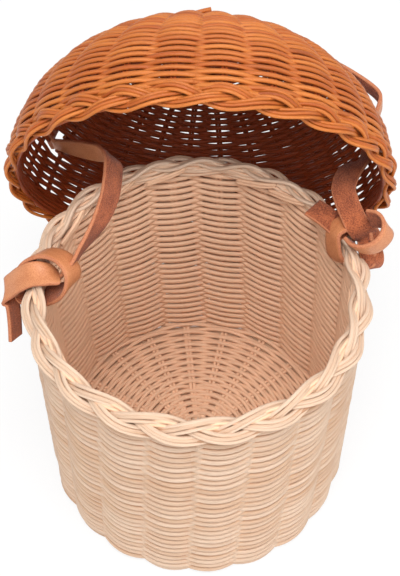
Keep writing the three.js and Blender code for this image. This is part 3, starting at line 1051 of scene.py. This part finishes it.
        # The winding strand takes the painted inner shade the same way where it dips in.
        self.lay(skin, at, angle, bow, round_section(self.cane / 2), tone=0.4, bow=bow / self.swing)
        self.loose_end(skin)
        return settle(skin, "dome_cane", [self.kit.stained], ["lid_weave"], Body.LID)

    def loose_end(self, skin: Skin) -> None:
        """Leaves one weaver's end standing out of the dome.

        Args:
            skin: Skin that gathers the rods.
        """
        share = np.linspace(0, 1, 8)
        angle = np.radians(-4.0 + 7.5 * share)
        at = self.at(np.full(8, self.loose_at))
        self.lay(skin, at, angle, 1.4 + 2.2 * share, round_section(self.cane / 2))

    def rods(self) -> Piece:
        """Runs the ribs up the dome, two rods each.

        Returns:
            The ribs.
        """
        skin, hand = Skin(), Wander(32)
        point, face = self.at(np.linspace(0, self.length_to(self.rib_end), 60))
        point = np.concatenate([[[point[0, 0] - 0.4, 4.0], [point[0, 0], 8.0]], point])
        at = point, np.concatenate([face[:1], face[:1], face])
        gap = np.minimum(self.rib / 2, point[:, 0] * 0.026)
        rod = round_section(self.rib / 2, 7)
        for index in range(self.ribs):
            for side in (-1, 1):
                angle = (index + 0.5) * 2 * math.pi / self.ribs + side * gap / point[:, 0]
                # The ribs take the darker painted inner colour all round, painted shade where they show in
                # the gaps between rows.
                self.lay(skin, at, angle, 0.0, rod, tone=hand.tone(), bow=INSIDE)
        names = [f"lid_rib_{k:02d}" for k in range(1, self.ribs + 1)]
        return settle(skin, "rib_cane", [self.kit.stained], names, Body.LID)

    def top(self) -> Piece:
        """Crosses the rods at the crown.

        Returns:
            The crown.
        """
        skin, hand = Skin(), Wander(33)
        _, middle, _ = self.profile()
        for lane in range(-3, 4):
            aside = lane * self.cross_gap
            reach = math.sqrt(self.cross_reach**2 - aside**2)
            run = np.linspace(-reach, reach, 41)
            offset = np.full_like(run, aside)
            for turned in (False, True):
                sign = (1 if lane % 2 else -1) * (-1 if turned else 1)
                over = np.cos(math.pi * run / self.cross_gap) * sign
                level = np.interp(-np.hypot(run, offset), -middle[:, 0], middle[:, 1]) + 0.95 * over
                centres = self.place(np.stack([offset, run, level] if turned else [run, offset, level], -1))
                rod = round_section(self.cross_rod)
                # Where a crown rod dips under, it takes the painted inner shade.
                skin.sweep(centres, self.aim(UP), rod, False, hand.tone(), bow=over)
        return settle(skin, "crown_cane", [self.kit.stained], ["lid_crown"], Body.LID)

    def border(self) -> Piece:
        """Plaits the border over hoops.

        Returns:
            The border.
        """
        skin, hand = Skin(), Wander(34)
        plait = {"radius": 109.6, "height": 6.2, "lean": 0.0, "swing": 4.3, "rise": -2.7}
        Plait(**plait, crossings=self.ribs, rod=1.06, spread=2.0, seed=41, place=self.place).lay(skin)
        # The hoops' inward halves take the painted inner shade.
        lay_hoops(skin, hand, self.hoops, 260, self.place, self.aim, bow=0.0)
        return settle(skin, "lid_border_cane", [self.kit.stained], ["lid_border"], Body.LID)

    def build(self) -> list[Piece]:
        """Makes all the lid's cane."""
        return [self.rods(), self.dome(), self.top(), self.border()]


@dataclass
class Strap:
    """The leather strap: two knots, two free runs and the handle."""

    kit: Kit
    lid: Lid
    width: float = 14.0
    thickness: float = 2.2
    leg_heights: tuple[float, float] = (43.0, 51.0)
    left_rest: float = 3.2
    right_rest: float = 16.7
    arch: float = 108.5
    drawn_between: tuple[float, float] = (50.0, 76.0)

    def band(
        self,
        skin: Skin,
        points: Sequence[Point],
        across: Sequence[Point],
        closed: bool = False,
        tone: float = 0.5,
    ) -> None:
        """Adds a band that follows points, with its suede side on the right of its way across.

        Args:
            skin: Skin that gathers the bands.
            points: Points along the middle of the band.
            across: Direction across the band at each point.
            closed: Whether it is a loop.
            tone: Number that sets the band's own grain.
        """
        centres = smooth_path(points, closed)
        width = unit(smooth_path(across, closed))
        section, faces = band_section(self.width, self.thickness)
        skin.sweep(centres, np.cross(heading(centres, closed), width), section, closed, tone, faces)

    def sew(self, skin: Skin, name: str, node: str, body: Body | None = None) -> Piece:
        """Makes a piece of leather that stands for one solid."""
        return settle(skin, name, self.kit.leather, [node], body)

    def left_knot(self) -> Piece:
        """Ties the left knot: a loop round the border, and the end passed through it and out.

        Returns:
            The knot.
        """
        skin = Skin()
        wide, high = (-0.866, 0.421, -0.266), (0.26, 0.379, 0.888)
        loop = oval((-83.1, 4.3, 180.0), wide, high, (16.8, 16.0), np.arange(0, 360, 40))
        fall = np.array((0, 0, 0, 0, 0, 0.5, 1.0, 1.0, 0.5))[:, None]
        loop = loop + fall * (-1.4, 1.5, 4.2)
        loop[7:] += ((0, 0, -2.0), (0, 0, -6.5))
        self.band(skin, loop, twist((-0.5, -0.73, 0.46), (-0.3, -0.943, -0.135), fall), True, 0.3)
        end = [(-75.8, 0.0, 186.2), (-81, 0.2, 188.4), (-90, 1.5, 187.4), (-98, 3.0, 180.5)]
        end += [(-103.5, 4.3, 173.0), (-107.0, 5.0, 167.5), (-107.3, 5.0, 162.0), (-105, 3.0, 157.5)]
        end += [(-104.2, -2.5, 149.0), (-104.2, -9.0, 139.5)]
        across = [(0, 0.86, -0.5), (0, 0.95, 0.0), (0, 0.84, 0.54), (0, 0.82, 0.57), (0, 0.82, 0.57)]
        across += [(0.0, 0.85, 0.53), (0.2, 0.9, 0.2)] + [(0.34, 0.75, -0.57)] * 3
        self.band(skin, end, across, False, 0.6)
        return self.sew(skin, "left_knot_leather", "left_knot", Body.BASKET)

    def right_knot(self) -> list[Piece]:
        """Ties the right knot: a loop round the border, an open hitch outside it and a short end.

        Returns:
            The loop with its end, and the hitch.
        """
        skin = Skin()
        loop = [(76.3, 28.4, 183), (78.5, 25.5, 172), (85.1, 25.5, 165.5), (96, 26, 165.5)]
        loop += [(97.8, 27.6, 170), (95.6, 32.4, 179), (93, 37.8, 185.2)]
        loop += [(84, 36.0, 188.2), (77.3, 31.5, 187.4)]
        across = [(-0.4, 0.64, -0.65)] * 6
        across += [(-0.42, 0.75, -0.5), (-0.45, 0.85, -0.27), (-0.42, 0.75, -0.5)]
        self.band(skin, loop, across, True, 0.2)
        tail = [(84, 31, 182.8), (78.5, 37, 184.8), (72.5, 43, 185.8), (65.5, 49.5, 185.6)]
        self.band(skin, tail, [(-0.61, -0.79, 0)] * 4, False, 0.5)
        knot = self.sew(skin, "right_knot_leather", "right_knot", Body.BASKET)
        skin = Skin()
        wide, high = (0.874, -0.157, 0.46), (0.0, 0.942, 0.322)
        hitch = oval((94.4, 26.3, 193.0), wide, high, (11.8, 10.2), np.linspace(84, -160, 9))
        roll = np.array((1, 1, 0.7, 0.3, 0, 0, 0, 0, 0))[:, None]
        across = twist((-0.484, -0.281, 0.823), (-0.45, 0.15, 0.88), roll)
        self.band(skin, hitch + roll * (0, -2.6, 0), across, False, 0.8)
        cup = self.sew(skin, "right_hitch_leather", "right_knot", Body.BASKET)
        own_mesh(cup)
        return [knot, cup]

    def runs(self) -> list[Piece]:
        """Draws the free runs from the knots into the lid's slots.

        Returns:
            The left run and the right run.
        """
        left_leg, right_leg, way = self.legs()
        upright = np.array((-way[1], way[0], 0.0))
        left = [(-76, 4.5, 180.0), (-70.5, 6.5, 187.0), (-67.4, 8.6, 190.0), (-63.3, 13.2, 195.0)]
        left += [(-57.6, 19.8, 200.0), (-52.5, 28.3, 204.0), (-48.5, 40.6, 207.0), (-47.1, 56.5, 208.0)]
        left += [(-48, 67.4, 206.5), (-53, 80, 197.0), (-63, 97, 179.0), (-74, 110, 166.5)]
        left_across = [(0, -0.7, 0.7), (0, -0.62, 0.78), (0, -0.57, 0.82), (-0.1, -0.54, 0.82)]
        left_across += [(-0.3, -0.45, 0.82), (-0.5, -0.35, 0.77), (-0.6, -0.3, 0.73), (-0.63, -0.28, 0.72)]
        left_across += [(-0.63, -0.1, 0.76), (-0.56, 0.2, 0.78), (-0.5, 0.37, 0.78), (-0.45, 0.2, 0.85)]
        right = [(94, 23.5, 161.5), (98.6, 21.5, 166.5), (99, 22.5, 173), (97.3, 27.5, 177.5)]
        right += [(96.6, 31.4, 182.2), (92.4, 30.4, 188), (89, 32.2, 192.2), (86.7, 37.2, 194)]
        right += [(84, 46.4, 195), (82.9, 56.5, 194.6), (87, 69.8, 192), (93.5, 81, 187.5)]
        right_across = [(-0.95, -0.3, 0)] * 6 + [(-0.97, -0.2, 0), (-1, -0.1, 0), (-1, 0, 0)]
        right_across += [(-0.95, 0.25, -0.05), (-0.8, 0.5, -0.2), (-0.4, 0.6, -0.65)]
        left_end = [left_leg + x * way + (0, 0, z) for x, z in ((6, 42.0), (1.5, 44.5), (0, 49.0))]
        right_end = [right_leg + x * way + (0, 0, z) for x, z in ((-5, 30.0), (-1, 38.0), (0, 46.0))]
        return [
            self.run("left", left, left_across, left_end, -upright, 2),
            self.run("right", right, right_across, right_end, upright, 6),
        ]

    def run(
        self,
        name: str,
        points: list[Point],
        across: list[Point],
        inside: list[Array],
        upright: Array,
        held: int,
    ) -> Piece:
        """Draws one free run of the strap.

        Args:
            name: Side that it is on.
            points: Points from the knot up to the lid.
            across: Direction across the strap at each of these points.
            inside: Points inside the upright lid, up to the slot.
            upright: Direction across the strap at the slot of the upright lid.
            held: Number of the last point that stays in the knot; not used.

        Returns:
            The run.
        """
        ends = [self.lid.place(point) for point in inside]
        ways = [self.lid.aim(upright)] * len(ends)
        skin = Skin()
        self.band(skin, [*points, *ends], [*across, *ways], False, 0.4)
        piece = self.sew(skin, f"{name}_run_leather", f"{name}_strap_run")
        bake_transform(piece)
        return piece

    def legs(self) -> tuple[Array, Array, Array]:
        """Finds the feet of the left and right legs on the upright lid, and the way between them."""
        left, right = (around(self.lid.leg_radius, math.radians(angle), 0.0) for angle in self.lid.slots)
        return left, right, unit(right - left)

    def shoulder(self, middle: Array, rest: float) -> list[tuple[float, float]]:
        """Draws one side of the handle over the upright dome.

        Args:
            middle: Point between the handle's feet.
            rest: How far the handle stands off the dome where it leaves it.

        Returns:
            Points of the side, as distance from the middle and height.
        """
        lifts = np.arange(36, 77, 10)
        crest, out = self.lid.crest(np.radians(np.arange(0, 90.5, 0.5)))
        stand = 1.3 + rest + (12.0 - rest) * (lifts - 36) / 54
        spot = crest[lifts * 2] + out[lifts * 2] * stand[:, None]
        reach = np.sqrt(spot[:, 0] ** 2 - (middle**2).sum())
        return list(zip(reach.tolist(), spot[:, 1].tolist()))

    def handle(self) -> Piece:
        """Bends the handle over the lid.

        Returns:
            The handle.
        """
        left, right, way = self.legs()
        middle = (left + right) / 2
        span = float(np.linalg.norm(right - middle))
        legs = [(span, height) for height in self.leg_heights]
        left_side = [*legs, *self.shoulder(middle, self.left_rest)]
        right_side = [*legs, (span + 5.0, 60.8), *self.shoulder(middle, self.right_rest)]
        outline = [(-x, z) for x, z in left_side] + [(0.0, self.arch)] + right_side[::-1]
        points = [self.lid.place(middle + x * way + (0, 0, z)) for x, z in outline]
        across = self.lid.aim(np.array((way[1], -way[0], 0.0)))
        skin = Skin()
        self.band(skin, points, [across] * len(points), False, 0.7)
        piece = self.sew(skin, "handle_leather", "handle_strap")
        start, end = (tuple(self.lid.place(middle + (0, 0, height)) * MM) for height in self.drawn_between)
        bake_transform(piece)
        return piece

    def build(self) -> list[Piece]:
        """Makes all the leather."""
        return [self.left_knot(), *self.right_knot(), *self.runs(), self.handle()]


@dataclass(frozen=True)
class Lamp:
    """A soft square lamp, in metres and watts."""

    name: str
    place: Point
    aim: Point
    size: float
    power: float

    def hang(self) -> None:
        """Hangs the lamp so that it faces its aim."""
        data = bpy.data.lights.new(self.name, "AREA")
        data.size = self.size
        data.energy = self.power
        lamp = bpy.data.objects.new(self.name, data)
        lamp.location = self.place
        way = np.array(self.aim) - np.array(self.place)
        flat = math.hypot(way[0], way[1])
        lamp.rotation_euler = (math.atan2(flat, -way[2]), 0.0, math.atan2(way[1], way[0]) - math.pi / 2)
        bpy.context.scene.collection.objects.link(lamp)


@dataclass
class Studio:
    """Camera, white floor and soft light."""

    eye: Point = (1.5, -421.8, 779.3)
    pitch: float = 34.97
    lens: float = 83.0
    sensor: float = 36.0
    floor_half: float = 6.0
    floor_drop: float = 0.0004
    floor_glow: float = 0.8
    paper: float = 0.86
    ambient: float = 0.55
    lamps: tuple[Lamp, ...] = (
        Lamp("key", (-0.35, -1.0, 2.0), (0, 0.05, 0.15), size=1.2, power=14.0),
        Lamp("fill", (1.3, -0.6, 1.2), (0, 0.05, 0.15), size=1.2, power=9.5),
        Lamp("top", (0.0, -0.3, 1.5), (0, 0.0, 0.05), size=0.7, power=13.0),
        Lamp("low", (0.0, -1.5, 0.45), (0, 0.1, 0.24), size=0.9, power=3.2),
    )

    def camera(self) -> None:
        """Sets the camera where the photograph was taken."""
        data = bpy.data.cameras.new("camera")
        data.lens = self.lens
        data.sensor_width = self.sensor
        data.clip_end = 20.0
        camera = bpy.data.objects.new("camera", data)
        camera.location = [c * MM for c in self.eye]
        camera.rotation_euler = (math.radians(self.pitch), 0.0, 0.0)
        bpy.context.scene.collection.objects.link(camera)
        bpy.context.scene.camera = camera

    def floor(self) -> None:
        """Lays a white floor that keeps a soft shadow."""
        half = self.floor_half
        mesh = bpy.data.meshes.new("floor")
        corners = [(-half, -half, 0), (half, -half, 0), (half, half, 0), (-half, half, 0)]
        mesh.from_pydata(corners, [], [(0, 1, 2, 3)])
        floor = bpy.data.objects.new("floor", mesh)
        floor.location.z = -self.floor_drop
        bpy.context.scene.collection.objects.link(floor)
        nodes = Nodes(bpy.data.materials.new("floor_white"))
        share = nodes.reckon("MULTIPLY", nodes.background(), self.floor_glow)
        paper = nodes.add("ShaderNodeBsdfDiffuse", {"Color": (self.paper, self.paper, self.paper, 1)})
        glow = nodes.add("ShaderNodeEmission", {"Color": WHITE, "Strength": 1.0})
        blend = nodes.add("ShaderNodeMixShader", {0: share, 1: paper.outputs[0], 2: glow.outputs[0]})
        nodes.add("ShaderNodeOutputMaterial", {0: blend.outputs[0]})
        mesh.materials.append(nodes.owner)

    def light(self) -> None:
        """Lights the scene softly from above and the front."""
        nodes = Nodes(bpy.data.worlds.new("studio"))
        ambient = nodes.add("ShaderNodeBackground", {"Color": WHITE, "Strength": self.ambient})
        white = nodes.add("ShaderNodeBackground", {"Color": WHITE})
        inputs = {0: nodes.background(), 1: ambient.outputs[0], 2: white.outputs[0]}
        blend = nodes.add("ShaderNodeMixShader", inputs)
        nodes.add("ShaderNodeOutputWorld", {0: blend.outputs[0]})
        bpy.context.scene.world = nodes.owner
        for lamp in self.lamps:
            lamp.hang()

    def build(self) -> None:
        """Makes the camera, the floor and the light."""
        self.camera()
        self.floor()
        self.light()
        bpy.context.scene.view_settings.view_transform = "Standard"


def main() -> None:
    """Builds the basket's looks in the studio."""
    logging.basicConfig(level=logging.INFO, format="%(message)s")
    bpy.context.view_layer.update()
    kit = Kit.make()
    lid = Lid(kit)
    Studio().build()
    for builder in (Basket(kit), lid, Strap(kit, lid)):
        for piece in builder.build():
            log.info("%s: %d faces", piece.name, len(piece.data.polygons))


if __name__ == "__main__":
    main()
